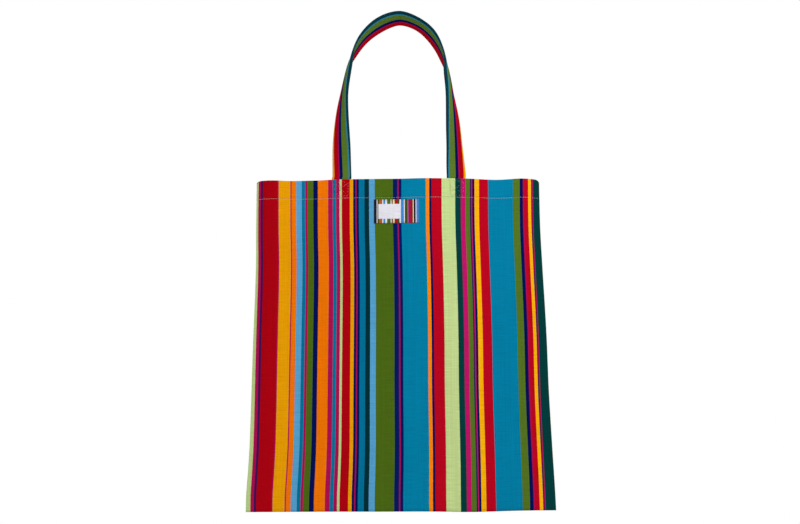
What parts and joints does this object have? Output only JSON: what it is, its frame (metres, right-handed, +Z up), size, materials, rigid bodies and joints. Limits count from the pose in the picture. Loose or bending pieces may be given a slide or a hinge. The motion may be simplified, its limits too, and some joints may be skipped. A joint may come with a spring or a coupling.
{
  "type": "tote bag",
  "caption": "Flat striped canvas tote bag with two strap handles, a hemmed open mouth, sewn sides and bottom, and a small woven label.",
  "frame": {"origin": "the point under both handle arches where a hook carries the bag", "axes": "+Z up along the hanging bag, the front panel with the label faces -Y, +X to the right seen from the front"},
  "size_m": [0.384, 0.052, 0.6651],
  "materials": {
    "canvas": "woven striped cotton canvas, matt",
    "strap": "folded striped cotton canvas, matt",
    "ribbon": "woven ribbon, slight sheen",
    "thread": "polyester sewing thread"
  },
  "bodies": {
    "bag": {"front_panel": "canvas", "back_panel": "canvas", "front_handle_ends": "strap", "back_handle_ends": "strap", "label": "ribbon", "label_stitching": "thread", "front_hem_stitching": "thread", "back_hem_stitching": "thread", "front_left_tack": "thread", "front_right_tack": "thread", "back_left_tack": "thread", "back_right_tack": "thread", "left_seam_stitching": "thread", "right_seam_stitching": "thread", "bottom_seam_stitching": "thread"},
    "front_handle": {"front_handle": "strap"},
    "back_handle": {"back_handle": "strap"}
  },
  "joints": [
    {"name": "front_handle_swing", "type": "hinge", "parent": "bag", "child": "front_handle", "pos_m": [0, 0.0111, -0.2095], "axis": [1, 0, 0], "range_deg": [0, 150]},
    {"name": "back_handle_swing", "type": "hinge", "parent": "bag", "child": "back_handle", "pos_m": [0, 0.026, -0.2095], "axis": [-1, 0, 0], "range_deg": [0, 150]}
  ]
}
